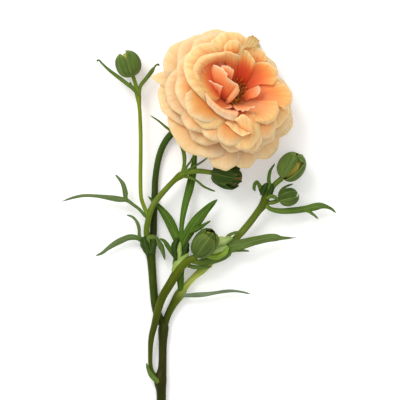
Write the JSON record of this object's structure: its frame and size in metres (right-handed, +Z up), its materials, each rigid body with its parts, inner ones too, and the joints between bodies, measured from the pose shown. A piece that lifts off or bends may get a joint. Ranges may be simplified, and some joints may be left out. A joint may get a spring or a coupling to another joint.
{
  "type": "ranunculus flower",
  "caption": "Cut ranunculus lying down: one open double bloom of apricot petals, closed buds, narrow cut leaves and a branched green stem.",
  "frame": {"origin": "under the middle of the whole plant's box, on the surface that it lies on", "axes": "+Y from the cut end of the stem to the bloom, +X to the right seen from above with the bloom away from the viewer, +Z up"},
  "size_m": [0.1384, 0.1964, 0.0386],
  "materials": {
    "stem": "fresh green stem, waxy, faintly ribbed",
    "petal": "thin matt petal, apricot with a cream rim and a red-orange base",
    "calyx": "matt green, downy",
    "stamen": "golden brown, matt",
    "carpel": "olive yellow, matt",
    "bud_sepal": "dull green with pale edges",
    "bud_petal": "yellow green, satin",
    "leaf": "grey green leaf with a paler rib"
  },
  "bodies": {
    "root": {"stem": "stem", "bloom_petals": "petal", "bloom_sepals": "calyx", "bloom_stamens": "stamen", "bloom_carpels": "carpel", "bud_top_left_sepals": "bud_sepal", "bud_top_left_petals": "bud_petal", "bud_nodding_sepals": "bud_sepal", "bud_nodding_petals": "bud_petal", "bud_right_large_sepals": "bud_sepal", "bud_right_large_petals": "bud_petal", "bud_right_small_sepals": "bud_sepal", "bud_right_small_petals": "bud_petal", "bud_centre_sepals": "bud_sepal", "bud_centre_petals": "bud_petal", "leaf_left_forked": "leaf", "leaf_left_lower": "leaf", "leaf_left_drooping": "leaf", "leaf_centre_lobed": "leaf", "leaf_centre_hidden": "leaf", "leaf_right_long": "leaf", "bract_centre_bud": "leaf", "leaf_tall_forked": "leaf", "leaf_under_nodding_bud": "leaf", "leaf_lower_right": "leaf", "bract_top_left_outer": "leaf", "bract_top_left_inner": "leaf", "leaf_right_upper": "leaf", "leaf_right_lower": "leaf", "bract_right_front": "leaf", "bract_right_small": "leaf", "bract_lowest": "leaf"}
  },
  "joints": []
}
